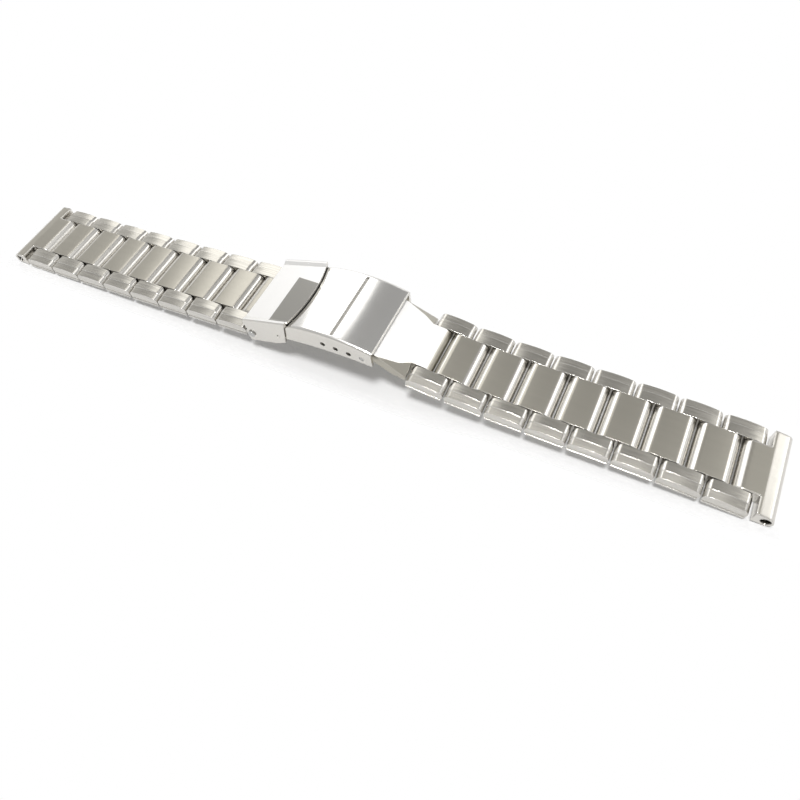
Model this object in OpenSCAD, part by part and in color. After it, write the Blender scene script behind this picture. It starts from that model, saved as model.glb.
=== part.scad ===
// Steel watch bracelet with a folding clasp, laid out as a low arch.
// x runs along the bracelet, y across it and z up from the table.

/* [Strands] */
// Distance from one pivot pin to the next
link_pitch = 8.18; // [8.0:0.02:8.4]
// Width of the strand over the outer links
strand_w = 18.0; // [17.4:0.1:18.6]
// Width of the middle row
center_w = 10.4; // [10.0:0.1:10.8]
// Thickness of the links
link_t = 2.8; // [2.7:0.05:2.9]
// Gap between neighbours in one row, at the top
link_gap = 0.25; // [0.22:0.01:0.32]
// Free play between the rows
row_gap = 0.12; // [0.08:0.01:0.16]
// Extra gap at the foot of each outer link end, so that the strand can bend
foot_relief = 0.24; // [0.22:0.01:0.34]

/* [Middle links] */
// Radius of the rounded ends
center_end_r = 1.8; // [1.6:0.05:1.9]
// Width of the seam under the link
seam_w = 0.3; // [0.2:0.05:0.5]
// Depth of the seam under the link
seam_depth = 0.25; // [0.15:0.05:0.35]

/* [Outer links] */
// How far the arched top falls from its middle to its ends
outer_sag = 0.35; // [0.25:0.05:0.5]
// Radius of the rounded ends
outer_end_r = 1.2; // [1.0:0.05:1.3]
// Step down from the inner band to the outer band
band_step = 0.14; // [0.1:0.02:0.2]
// Share of the width taken by the inner band
band_share = 0.56; // [0.5:0.02:0.6]
// Outward tilt of the outer band in degrees
band_tilt = 4; // [2:1:8]
// Radius of the plan corners beside the middle row
corner_r = 0.8; // [0.5:0.05:1.0]
// Height of the hem along the foot
hem_h = 0.38; // [0.3:0.02:0.5]
// How far the hem stands out
hem_out = 0.12; // [0.08:0.02:0.16]

/* [Pins] */
// Radius of the link pins
pin_r = 0.6; // [0.5:0.02:0.65]
// Radial clearance where a pin turns
run_clearance = 0.04; // [0.03:0.01:0.06]
// Radial clearance where a pin is held fast
hold_clearance = 0.01; // [0.01:0.005:0.02]
// Wall left outside the end of a blind pin bore
pin_cap = 1.0; // [0.8:0.1:1.2]
// Gap between the end of a pin and the end of its bore
pin_end_gap = 0.05; // [0.03:0.01:0.08]

/* [End links] */
// How far each side of the end link stays inside the strand
end_inset = 0.1; // [0.05:0.05:0.3]
// Outer radius of the rolled tube
end_tube_r = 1.3; // [1.25:0.05:1.35]
// Bore radius for the spring bar of the watch case
end_bore_r = 0.95; // [0.85:0.05:0.95]
// Distance of the tube centre from the last pivot pin
end_tube_x = 8.95; // [8.8:0.05:9.2]
// Length of the slope from the flat top to the tube
roll_length = 1.6; // [1.5:0.1:1.8]
// Gap between the last outer links and the ears
ear_gap = 0.8; // [0.7:0.05:0.9]

/* [Resting arch] */
// Distance from the middle to the first pivot pin on the left
left_start = 21.98; // [21.9:0.02:22.1]
// Distance from the middle to the first pivot pin on the right
right_start = 19.58; // [19.5:0.02:19.7]
// Slope of the first left link in degrees
left_slope_first = 3.3; // [3.2:0.1:3.4]
// Slope of the last left link in degrees
left_slope_last = 2.2; // [2.1:0.1:2.3]
// Least slope on the right in degrees
right_slope_least = 1.75; // [1.7:0.05:1.8]
// Growth of the right slope away from its flattest link
right_slope_growth = 0.5; // [0.49:0.01:0.51]
// Flattest place on the right, counted in links
right_flattest = 4.4; // [4.3:0.1:4.5]

/* [Clasp cover] */
// Outer width of the cover
cover_w = 17.9; // [17.8:0.1:18.0]
// Outer width of the ears, where the cover narrows inside the catch
ear_w = 17.1; // [17.0:0.1:17.2]
// Sheet thickness of the cover
cover_sheet = 0.7; // [0.6:0.05:0.8]
// Radius of the arched roof
roof_r = 34; // [33:0.5:35]
// Height of the top of the roof
roof_top = 12.35; // [12.3:0.05:12.4]
// Place of the top of the roof along x
roof_x = 1.0; // [0.9:0.1:1.1]
// Right end of the cover
cover_right = 10.65; // [10.6:0.05:10.8]
// Left end of the roof, hidden by the catch
roof_left = -12.0; // [-12.2:0.1:-11.8]
// Right end of the ears, where they lap the cover walls inside
lap_x = -7.2; // [-7.4:0.1:-7.0]
// Radius of the ears around the catch pivot
ear_boss_r = 1.5; // [1.45:0.05:1.55]
// How far the upper part of the ears stays behind the left end of the roof
ear_setback = 0.3; // [0.25:0.05:0.35]
// Radius of the long edges of the roof
roof_edge_r = 0.7; // [0.6:0.05:0.7]
// Width of the groove across the roof
groove_w = 0.7; // [0.5:0.05:0.9]
// Depth of the groove across the roof
groove_depth = 0.3; // [0.2:0.05:0.35]
// Place of the groove along x
groove_x = 1.8; // [1.6:0.1:2.0]
// Distance of each groove end from the middle
groove_reach = 8.1; // [7.8:0.1:8.2]
// Radius of the low arch of the wall feet
foot_r = 85; // [80:5:90]
// Place of the highest point of the wall feet
foot_x = 3; // [2.8:0.1:3.2]
// Height of the wall feet at their highest
foot_top = 7.72; // [7.6:0.02:7.8]

/* [Spring bars] */
// Place of the spring bar hole in use
bar_x = 8.48; // [8.4:0.01:8.5]
// Height of the spring bar hole in use
bar_z = 8.86; // [8.8:0.02:8.9]
// Distance between the adjusting holes
hole_pitch = 2.9; // [2.85:0.01:2.95]
// Rise of each adjusting hole over the next one to its right
hole_rise = 0.2; // [0.18:0.01:0.22]
// Radius of the spring bar tube
bar_r = 0.75; // [0.7:0.01:0.8]
// Radius of the spring bar tips
bar_tip_r = 0.5; // [0.45:0.01:0.55]
// Radial clearance of the spring bar tips in their holes
tip_clearance = 0.06; // [0.04:0.01:0.08]
// How far the spring bar tips stay inside the outer faces of the walls
tip_inset = 0.05; // [0.03:0.01:0.08]
// Gap between each end of the spring bar tube and the cover wall
bar_end_gap = 0.35; // [0.3:0.01:0.4]

/* [Clasp links] */
// Wall of the tube around the spring bar
bar_wall = 0.5; // [0.48:0.01:0.52]
// Gap between the plate of the right clasp link and the first outer links
plate_gap = 0.42; // [0.41:0.01:0.45]
// Half the width of the plate at the spring bar
plate_half_w = 7.5; // [7.4:0.1:7.6]
// Half the width of the plate at the first links
plate_end_half_w = 7.9; // [7.8:0.1:8.0]
// Length of the straight sides of the plate beside the spring bar
plate_straight = 2.2; // [2.1:0.1:2.3]
// Length of the level top of the plate before the first links
plate_top = 2.4; // [2.3:0.1:2.5]
// Length of the level underside of the plate before the first links
plate_foot = 3; // [2.9:0.1:3.1]
// Share of the tube radius at which the underside of the plate meets the tube
plate_low_share = 0.8; // [0.78:0.01:0.82]
// Share of the tube radius at which the top of the plate meets the tube
plate_high_share = 0.99; // [0.98:0.01:0.99]
// Outward slope of the bevels on the right clasp link in degrees
bevel_roll = 31; // [30:1:32]
// Forward slope of the bevels on the right clasp link in degrees
bevel_pitch = 18.5; // [18:0.5:19]
// How much larger the barrel of the left clasp link is than the blade knuckles
barrel_step = 0.2; // [0.18:0.01:0.22]

/* [Blades] */
// Sheet thickness of the blades
blade_sheet = 0.7; // [0.65:0.01:0.72]
// Free space between the blades and the ears
blade_gap = 0.75; // [0.7:0.05:0.9]
// Radius of the hinge knuckles
knuckle_r = 1.0; // [0.95:0.01:1.02]
// Radius of the blade hinge pins
hinge_pin_r = 0.5; // [0.45:0.01:0.52]
// Width of the middle knuckle of the blade hinge
mid_knuckle_w = 7.8; // [7.0:0.1:8.4]
// Free play beside each knuckle
knuckle_play = 0.2; // [0.15:0.01:0.25]
// Place of the hinge of the inner blade in the cover
inner_hinge_x = -14.25; // [-14.3:0.05:-14.2]
// Height of the hinge of the inner blade in the cover
inner_hinge_z = 7.3; // [7.25:0.05:7.35]
// Place of the hinge between the blades
mid_hinge_x = 5.0; // [4.9:0.05:5.05]
// Height of the hinge between the blades
mid_hinge_z = 6.5; // [6.45:0.05:6.5]
// Length of the narrow sheet beside each hinge of the blades
knuckle_setback = 1.6; // [1.5:0.05:1.7]
// Depth at which the outer blade meets its knuckles, below the left clasp pin
blade_drop = 0.15; // [0.1:0.05:0.2]
// Left end of the window in the inner blade
window_left = -10.5; // [-10.6:0.1:-10.4]
// Right end of the window in the inner blade
window_right = 1.0; // [0.9:0.1:1.1]
// Width of the window in the inner blade
window_w = 3.6; // [3.0:0.1:4.0]
// Left end of the slot in the outer blade
slot_left = -13.5; // [-13.6:0.1:-13.4]
// Right end of the slot in the outer blade
slot_right = 1.2; // [1.1:0.1:1.3]
// Width of the slot in the outer blade
slot_w = 2.2; // [2.0:0.1:2.4]

/* [Safety catch] */
// Place of the catch pivot and of the left clasp pin
catch_x = -18.2; // [-18.25:0.05:-18.15]
// Height of the catch pivot and of the left clasp pin
catch_z = 4.9; // [4.85:0.05:4.95]
// Sheet thickness of the catch
catch_sheet = 0.6; // [0.55:0.05:0.6]
// Free play between the catch and the cover walls
catch_play = 0.1; // [0.08:0.01:0.12]
// Place of the left edge of the catch
catch_left_x = -19.6; // [-19.65:0.05:-19.55]
// Height of the left edge of the catch
catch_left_z = 8.35; // [8.3:0.05:8.4]
// Radius of the flaps around the catch pivot
catch_boss_r = 1.4; // [1.35:0.05:1.45]
// Place of the bend across the catch
bend_x = -13.2; // [-13.3:0.1:-13.1]
// Height of the bend across the catch
bend_z = 10.3; // [10.25:0.05:10.35]
// Slope of the lip of the catch in degrees
lip_slope = 16.5; // [16:0.5:17]
// How far the middle of the lip bulges
lip_bulge = 1.6; // [1.4:0.1:1.7]
// Height of the folded ridges along the sides
ridge_h = 0.35; // [0.3:0.05:0.4]
// Distance of the foot of each ridge from the side of the catch
ridge_foot = 1.45; // [1.4:0.05:1.5]
// Distance of the inner top edge of each ridge from the side of the catch
ridge_inner = 0.7; // [0.65:0.05:0.75]
// Distance of the outer top edge of each ridge from the side of the catch
ridge_outer = 0.3; // [0.25:0.05:0.35]
// How far the inner bends of the sheet are set off from the outer ones
fold_shift = 0.15; // [0.1:0.05:0.2]
// Right end of the lip at the sides
lip_x = -8.7; // [-8.8:0.05:-8.6]
// Right end of the flaps at their foot
flap_x = -9.63; // [-9.7:0.01:-9.6]
// Height of the foot of the flaps at their right end
flap_z = 5.75; // [5.7:0.05:5.8]
// Lean of the right edge of the flaps in degrees
flap_lean = 9.5; // [9:0.5:10]
// Gap between the catch and the parts of the cover beside it
seat_gap = 0.2; // [0.15:0.01:0.25]
// Place of the punch mark on each flap
mark_x = -11.06; // [-11.1:0.02:-11.0]
// Height of the punch mark on each flap
mark_z = 7.24; // [7.2:0.02:7.28]
// Radius of the punch mark on each flap
mark_r = 0.35; // [0.3:0.05:0.4]
// Depth of the punch mark on each flap
mark_depth = 0.3; // [0.25:0.05:0.35]
// Radius of the rivet heads
rivet_head_r = 0.85; // [0.8:0.05:0.95]
// Height of the rivet heads
rivet_head_h = 0.25; // [0.2:0.05:0.3]

/* [Hidden] */
$fn = 64;
// Facets of the large circles
fine = 128;
// Links in each strand
links = 8;
// Spring bar holes in each wall
holes = 4;
// Larger than the bracelet is wide or high
big = 100;
// How far a cutting shape passes the surface that it cuts
margin = 1;
// How far two shapes that become one piece reach into one another
lap = 0.2;
// Overlap of two shapes that meet in one plane
nudge = 0.001;
quarter = link_pitch / 4;
end_in = quarter - link_gap / 2;
half_t = link_t / 2;
outer_in = center_w / 2 + row_gap;
outer_out = strand_w / 2;
split_y = outer_in + (outer_out - outer_in) * band_share;
outer_half = 2 * quarter - link_gap / 2;
outer_arch_r = pow(outer_half, 2) / (2 * outer_sag) + outer_sag / 2;
pin_reach = outer_out - pin_cap;
steel = [0.72, 0.71, 0.68];
bright_steel = [0.82, 0.81, 0.79];
pin_steel = [0.6, 0.6, 0.6];

// The slope is the angle by which a link falls away from the clasp.
function left_slope(k) = left_slope_first
    + (left_slope_last - left_slope_first) * (max(k, 1) - 1) / (links - 1);
function right_slope(k) = right_slope_least
    + right_slope_growth * pow(min(max(k, 1), links - 1) - right_flattest, 2);

// The chain of pivot pins starts at the clasp and its height at the table.
function left_run(k) = k == 1 ? left_start : left_run(k - 1) + link_pitch * cos(left_slope(k - 1));
function right_run(k) = k == 1 ? right_start : right_run(k - 1) + link_pitch * cos(right_slope(k - 1));
function end_reach(slope) = end_tube_x * cos(slope) + (end_tube_r - half_t) * sin(slope);
function left_x(k) = left_run(k) - clasp_x;
function right_x(k) = right_run(k) + clasp_x;
function last_z(slope) = end_tube_r + end_tube_x * sin(slope) + (half_t - end_tube_r) * cos(slope);
function left_z(k) = k == links ? last_z(left_slope(k))
    : left_z(k + 1) + link_pitch * sin(left_slope(k));
function right_z(k) = k == links ? last_z(right_slope(k))
    : right_z(k + 1) + link_pitch * sin(right_slope(k));

// The clasp stands beside the origin so that both ends reach equally far from it.
clasp_x = (left_run(links) + end_reach(left_slope(links))
    - right_run(links) - end_reach(right_slope(links))) / 2;

// A point of the clasp, seen in the frame of the first pivot pin beside it.
function seen_from(p, origin, slope) = [
    (p[0] - origin[0]) * cos(slope) - (p[1] - origin[1]) * sin(slope),
    (p[0] - origin[0]) * sin(slope) + (p[1] - origin[1]) * cos(slope)];

// Centre of the circle of radius r through p and q that bulges upwards.
function arc_center(p, q, r) = let (d = q - p, n = norm(d))
    (p + q) / 2 + [d[1], -d[0]] / n * sqrt(r * r - n * n / 4);

roof_center = [roof_x, roof_top - roof_r];
end_w = strand_w - 2 * end_inset;
wall_in = cover_w / 2 - cover_sheet;
ear_in = ear_w / 2 - cover_sheet;
blade_w = 2 * (ear_in - blade_gap);
catch_in = ear_w / 2 + catch_play;
catch_out = catch_in + catch_sheet;
flat_slope = atan2(bend_z - catch_left_z, bend_x - catch_left_x);
lip_root_z = bend_z + catch_sheet + catch_play;
inner_hinge = [inner_hinge_x, inner_hinge_z];
mid_hinge = [mid_hinge_x, mid_hinge_z];
catch_pivot = [catch_x, catch_z];
bar = [bar_x, bar_z];
hole_r = bar_tip_r + tip_clearance;
inner_blade_end = mid_hinge + [0, blade_sheet / 2];
outer_blade_end = mid_hinge - [0, knuckle_r - blade_sheet / 2];
outer_blade_start = catch_pivot - [0, blade_drop];
inner_blade_center = arc_center(inner_hinge, inner_blade_end, foot_r);
outer_blade_center = arc_center(outer_blade_start, outer_blade_end, foot_r);

// Lays an outline drawn in x and z over the width from y0 to y1.
module across(y0, y1) {
    rotate([90, 0, 0])
        translate([0, 0, -y1])
            linear_extrude(y1 - y0)
                children();
}

module both_sides() {
    children();
    mirror([0, 1, 0])
        children();
}

// A rod across the bracelet at p, from y0 to y1.
module rod(p, r, y0, y1) {
    across(y0, y1)
        translate(p)
            circle(r);
}

// The clasp is drawn in its own frame, with x counted from the middle of the cover.
module at_clasp() {
    translate([clasp_x, 0, 0])
        children();
}

module on_left(k) {
    mirror([1, 0, 0])
        translate([left_x(k), 0, left_z(k)])
            rotate([0, left_slope(k), 0])
                children();
}

module on_right(k) {
    translate([right_x(k), 0, right_z(k)])
        rotate([0, right_slope(k), 0])
            children();
}

// Side view of a middle link from x0 to x1, with rounded ends and a flat foot.
module center_outline(x0, x1) {
    intersection() {
        translate([x0, -half_t])
            square([x1 - x0, link_t]);
        union() {
            translate([x0 + center_end_r, half_t - center_end_r])
                circle(center_end_r);
            translate([x1 - center_end_r, half_t - center_end_r])
                circle(center_end_r);
            translate([x0 + center_end_r, -half_t])
                square([x1 - x0 - 2 * center_end_r, link_t]);
        }
    }
}

module seam(x0, x1) {
    translate([x0, -seam_w / 2, -half_t - margin])
        cube([x1 - x0, seam_w, margin + seam_depth]);
}

module center_link() {
    x0 = quarter + link_gap / 2;
    x1 = 5 * quarter - link_gap / 2;
    difference() {
        across(-center_w / 2, center_w / 2)
            center_outline(x0, x1);
        rod([2 * quarter, 0], pin_r + hold_clearance, -center_w, center_w);
        rod([4 * quarter, 0], pin_r + run_clearance, -center_w, center_w);
        seam(x0 - margin, x1 + margin);
    }
}

// Side view of an outer link without its arched top.
module outer_body_outline() {
    x1 = 3 * quarter - link_gap / 2;
    polygon([
        [-end_in, half_t + margin],
        [-end_in, 0],
        [-end_in + foot_relief, -half_t],
        [x1 - foot_relief, -half_t],
        [x1, 0],
        [x1, half_t + margin]]);
}

// Side view of the arched top of an outer link, which runs over into its rounded ends.
module band_top(drop) {
    end_x = outer_half - outer_end_r;
    end_z = sqrt(pow(outer_arch_r - outer_end_r, 2) - pow(end_x, 2));
    touch_x = end_x * outer_arch_r / (outer_arch_r - outer_end_r);
    translate([quarter, half_t - drop - outer_arch_r])
        intersection() {
            circle(outer_arch_r, $fn = fine);
            union() {
                for (side = [-1, 1])
                    translate([side * end_x, end_z])
                        circle(outer_end_r);
                translate([-touch_x, 0])
                    square([2 * touch_x, outer_arch_r + margin]);
                translate([-outer_half, 0])
                    square([2 * outer_half, end_z]);
            }
        }
}

module outer_plan() {
    length = 4 * quarter - link_gap;
    translate([-end_in, outer_in + corner_r])
        square([length, outer_out + hem_out - outer_in - corner_r]);
    translate([-end_in + corner_r, outer_in])
        square([length - 2 * corner_r, corner_r + lap]);
    translate([-end_in + corner_r, outer_in + corner_r])
        circle(corner_r);
    translate([-end_in + length - corner_r, outer_in + corner_r])
        circle(corner_r);
}

module outer_link() {
    tilt_point = [0, split_y, half_t - band_step];
    hem_end = -end_in + foot_relief;
    difference() {
        intersection() {
            union() {
                across(outer_in, split_y)
                    intersection() {
                        outer_body_outline();
                        band_top(0);
                    }
                intersection() {
                    across(split_y - lap, outer_out)
                        outer_body_outline();
                    translate(tilt_point)
                        rotate([-band_tilt, 0, 0])
                            translate(-tilt_point)
                                across(split_y - margin, outer_out + margin)
                                    band_top(band_step);
                }
                translate([hem_end, split_y, -half_t])
                    cube([4 * quarter - link_gap - 2 * foot_relief,
                        outer_out + hem_out - split_y, hem_h]);
            }
            translate([0, 0, -half_t])
                linear_extrude(link_t)
                    outer_plan();
        }
        rod([0, 0], pin_r + hold_clearance, 0, pin_reach);
        rod([2 * quarter, 0], pin_r + hold_clearance, 0, pin_reach);
    }
}

module outer_pair() {
    both_sides()
        outer_link();
}

module pin_pair() {
    half_length = pin_reach - pin_end_gap;
    rod([0, 0], pin_r, -half_length, half_length);
    rod([2 * quarter, 0], pin_r, -half_length, half_length);
}

// Side view of the end link from x0 on, whose sheet rolls over into the tube.
module end_outline(x0, tube) {
    roll_x = tube[0] - roll_length;
    to_roll = [roll_x, half_t] - tube;
    touch = atan2(to_roll[1], to_roll[0]) - acos(end_tube_r / norm(to_roll));
    intersection() {
        center_outline(x0, tube[0] + link_t);
        translate([x0, -half_t])
            square([roll_x - x0, link_t]);
    }
    polygon([
        [roll_x, -half_t],
        [roll_x, half_t],
        tube + end_tube_r * [cos(touch), sin(touch)],
        [tube[0], -half_t]]);
    translate(tube)
        circle(end_tube_r);
}

// Tongue, ears and the rolled tube that takes the spring bar of the watch.
module end_link() {
    x0 = quarter + link_gap / 2;
    ear_x = 3 * quarter - link_gap / 2 + ear_gap;
    tube = [end_tube_x, end_tube_r - half_t];
    difference() {
        union() {
            across(-center_w / 2, center_w / 2)
                end_outline(x0, tube);
            across(-end_w / 2, end_w / 2)
                intersection() {
                    end_outline(x0, tube);
                    translate([ear_x, -half_t])
                        square([end_tube_x + end_tube_r - ear_x, link_t]);
                }
        }
        rod([2 * quarter, 0], pin_r + hold_clearance, -center_w, center_w);
        rod(tube, end_bore_r, -end_w, end_w);
        seam(x0 - margin, ear_x);
    }
}

// Place of the right edge of the flaps at height z.
function flap_edge(z) = flap_x + (z - flap_z) * tan(flap_lean);

// Side view of a cover wall from x0 to x1, from the low arch of its foot to the roof.
module wall_arch(x0, x1) {
    intersection() {
        translate(roof_center)
            circle(roof_r - roof_edge_r, $fn = fine);
        difference() {
            translate([x0, 0])
                square([x1 - x0, roof_top]);
            translate([foot_x, foot_top - foot_r])
                circle(foot_r, $fn = fine);
        }
    }
}

// Side view of an ear, which carries the hinge of the blades and the catch.
module ear_outline() {
    wall_arch(roof_left + ear_setback, lap_x);
    polygon([
        [lap_x, inner_hinge_z - 0.1],
        [lap_x, inner_hinge_z + 2.3],
        inner_hinge + [2.65, 0.9],
        inner_hinge + [0.85, 1.45],
        inner_hinge + [-0.75, 1.15],
        catch_pivot + [-0.9, 1.18],
        catch_pivot + [-1.35, -0.5],
        catch_pivot + [0.3, -1.47],
        inner_hinge + [0.75, -2.4],
        [lap_x - 2.1, inner_hinge_z - 1.08]]);
    translate(catch_pivot)
        circle(ear_boss_r);
}

// Cross view of the roof sheet with its rounded edges, at the roof radius.
module roof_section() {
    difference() {
        union() {
            translate([roof_r - roof_edge_r, -cover_w / 2 + roof_edge_r])
                square([roof_edge_r, cover_w - 2 * roof_edge_r]);
            translate([roof_r - roof_edge_r - lap, -cover_w / 2])
                square([lap, cover_w]);
            for (s = [-1, 1])
                translate([roof_r - roof_edge_r, s * (cover_w / 2 - roof_edge_r)])
                    circle(roof_edge_r);
        }
        translate([roof_r - cover_sheet - margin, -wall_in])
            square([margin, 2 * wall_in]);
    }
}

// Room for the catch: beside the ears and in the roof under its lip.
module catch_room() {
    both_sides()
        across(ear_w / 2, big)
            polygon([
                [-big, 0],
                [flap_edge(0) + seat_gap, 0],
                [flap_edge(big) + seat_gap, big],
                [-big, big]]);
    intersection() {
        across(-big, big)
            translate([bend_x, bend_z])
                rotate(lip_slope)
                    translate([0, -catch_sheet - seat_gap])
                        square(big);
        linear_extrude(big)
            translate([lip_x + lip_bulge - lip_r(), 0])
                circle(lip_r() + seat_gap, $fn = fine);
    }
}

module clasp_cover() {
    color(bright_steel)
        at_clasp()
            difference() {
                union() {
                    intersection() {
                        translate([roof_center[0], 0, roof_center[1]])
                            rotate([90, 0, 0])
                                rotate_extrude($fn = fine)
                                    roof_section();
                        translate([roof_left, -cover_w, 0])
                            cube([cover_right - roof_left, 2 * cover_w, big]);
                    }
                    both_sides() {
                        across(wall_in, cover_w / 2)
                            wall_arch(roof_left, cover_right);
                        across(ear_in, ear_w / 2)
                            ear_outline();
                    }
                }
                catch_room();
                translate([groove_x - groove_w / 2, -groove_reach, roof_top - groove_depth])
                    cube([groove_w, 2 * groove_reach, groove_depth + margin]);
                for (i = [0:holes - 1])
                    rod(bar + i * [-hole_pitch, hole_rise], hole_r, -big, big);
                rod(inner_hinge, hinge_pin_r + run_clearance, -big, big);
                rod(catch_pivot, pin_r + hold_clearance, -big, big);
            }
}

// Cross view of the catch: flat roof, folded ridge and flap, for one side.
module catch_section() {
    fold = catch_out - ridge_foot;
    polygon([
        [0, 0],
        [fold, 0],
        [catch_out - ridge_inner, ridge_h],
        [catch_out - ridge_outer, ridge_h],
        [catch_out, ridge_h / 2],
        [catch_out, -bend_z],
        [catch_in, -bend_z],
        [catch_in, ridge_h - catch_sheet],
        [catch_in - fold_shift, ridge_h - catch_sheet],
        [fold + fold_shift, -catch_sheet],
        [0, -catch_sheet]]);
}

// The catch section laid along the line that passes the bend at the given slope.
module catch_strip(slope) {
    reach = bend_x - 2 * catch_left_x;
    translate([bend_x, 0, bend_z])
        rotate([0, -slope, 0])
            translate([-reach / 2, 0, 0])
                rotate([90, 0, 90])
                    linear_extrude(reach) {
                        catch_section();
                        mirror([1, 0])
                            catch_section();
                    }
}

// Side view of the room that the catch may fill.
module catch_outline() {
    polygon([
        [catch_left_x, big],
        [catch_left_x, catch_left_z - catch_sheet],
        catch_pivot + [-1.05, 1.35],
        catch_pivot + [-0.7, 0.3],
        catch_pivot + [-1.25, -0.6],
        catch_pivot + [-0.79, -2.4],
        [flap_x - 2.46, flap_z - 1.35],
        [flap_x, flap_z],
        [flap_edge(lip_root_z), lip_root_z],
        [0, lip_root_z],
        [0, big]]);
    translate(catch_pivot)
        circle(catch_boss_r);
}

function lip_r() = pow(catch_out, 2) / (2 * lip_bulge) + lip_bulge / 2;

// Plan view of the catch with its bulging lip.
module catch_plan() {
    translate([-big, -catch_out])
        square([lip_x + big, 2 * catch_out]);
    intersection() {
        translate([lip_x + lip_bulge - lip_r(), 0])
            circle(lip_r(), $fn = fine);
        translate([bend_x, -catch_out])
            square([-bend_x, 2 * catch_out]);
    }
}

module safety_catch() {
    color(bright_steel)
        at_clasp()
            difference() {
                intersection() {
                    union() {
                        intersection() {
                            catch_strip(flat_slope);
                            translate([-big, -big, -big])
                                cube([big + bend_x, 2 * big, 2 * big]);
                        }
                        intersection() {
                            catch_strip(lip_slope);
                            translate([bend_x - nudge, -big, -big])
                                cube([big, 2 * big, 2 * big]);
                        }
                    }
                    across(-big, big)
                        catch_outline();
                    translate([0, 0, -big])
                        linear_extrude(2 * big)
                            catch_plan();
                }
                rod(catch_pivot, pin_r + run_clearance, -big, big);
                both_sides()
                    rod([mark_x, mark_z], mark_r, catch_out - mark_depth, catch_out + margin);
            }
}

module catch_rivets() {
    head_in = catch_out + run_clearance;
    color(pin_steel)
        at_clasp()
            both_sides() {
                rod(catch_pivot, pin_r, ear_in, head_in + rivet_head_h / 2);
                rod(catch_pivot, rivet_head_r, head_in, head_in + rivet_head_h);
            }
}

module spring_bar_right() {
    tube_half = wall_in - bar_end_gap;
    tip_half = cover_w / 2 - tip_inset;
    color(pin_steel)
        at_clasp() {
            rod(bar, bar_r, -tube_half, tube_half);
            rod(bar, bar_tip_r, -tip_half, tip_half);
        }
}

module clasp_pin_left() {
    color(pin_steel)
        at_clasp()
            rod(catch_pivot, pin_r, -blade_w / 2, blade_w / 2);
}

module blade_pins() {
    color(pin_steel)
        at_clasp() {
            rod(inner_hinge, hinge_pin_r, -ear_w / 2, ear_w / 2);
            rod(mid_hinge, hinge_pin_r, -blade_w / 2, blade_w / 2);
        }
}

// Side view of an arched blade sheet from x0 to x1.
module blade_outline(center, x0, x1) {
    intersection() {
        translate(center)
            difference() {
                circle(foot_r + blade_sheet / 2, $fn = fine);
                circle(foot_r - blade_sheet / 2, $fn = fine);
            }
        translate([x0, 0])
            square([x1 - x0, roof_top]);
    }
}

// A slot with round ends from x0 to x1 through a blade.
module window(x0, x1, w) {
    translate([0, 0, -margin])
        linear_extrude(roof_top + margin) {
            translate([x0 + w / 2, 0])
                circle(w / 2);
            translate([x1 - w / 2, 0])
                circle(w / 2);
            translate([x0 + w / 2, -w / 2])
                square([x1 - x0 - w, w]);
        }
}

module inner_blade() {
    color(steel)
        at_clasp()
            difference() {
                union() {
                    across(-blade_w / 2, blade_w / 2)
                        blade_outline(inner_blade_center, inner_hinge_x, mid_hinge_x - knuckle_setback);
                    across(-mid_knuckle_w / 2, mid_knuckle_w / 2)
                        blade_outline(inner_blade_center, inner_hinge_x, mid_hinge_x);
                    rod(inner_hinge, knuckle_r, -ear_in + knuckle_play, ear_in - knuckle_play);
                    rod(mid_hinge, knuckle_r, -mid_knuckle_w / 2, mid_knuckle_w / 2);
                }
                rod(inner_hinge, hinge_pin_r + hold_clearance, -big, big);
                rod(mid_hinge, hinge_pin_r + hold_clearance, -big, big);
                window(window_left, window_right, window_w);
            }
}

module outer_blade() {
    narrow_left = catch_x + knuckle_setback;
    narrow_right = mid_hinge_x - knuckle_setback;
    color(steel)
        at_clasp()
            difference() {
                union() {
                    across(-blade_w / 2, blade_w / 2)
                        blade_outline(outer_blade_center, narrow_left, narrow_right);
                    both_sides() {
                        across(mid_knuckle_w / 2 + knuckle_play, blade_w / 2)
                            blade_outline(outer_blade_center, narrow_right - lap, mid_hinge_x);
                        across(center_w / 2 + knuckle_play, blade_w / 2)
                            blade_outline(outer_blade_center, catch_x, narrow_left + lap);
                        rod(mid_hinge, knuckle_r, mid_knuckle_w / 2 + knuckle_play, blade_w / 2);
                        rod(catch_pivot, knuckle_r, center_w / 2 + knuckle_play, blade_w / 2);
                    }
                }
                rod(mid_hinge, hinge_pin_r + run_clearance, -big, big);
                rod(catch_pivot, pin_r + hold_clearance, -big, big);
                window(slot_left, slot_right, slot_w);
            }
}

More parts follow.
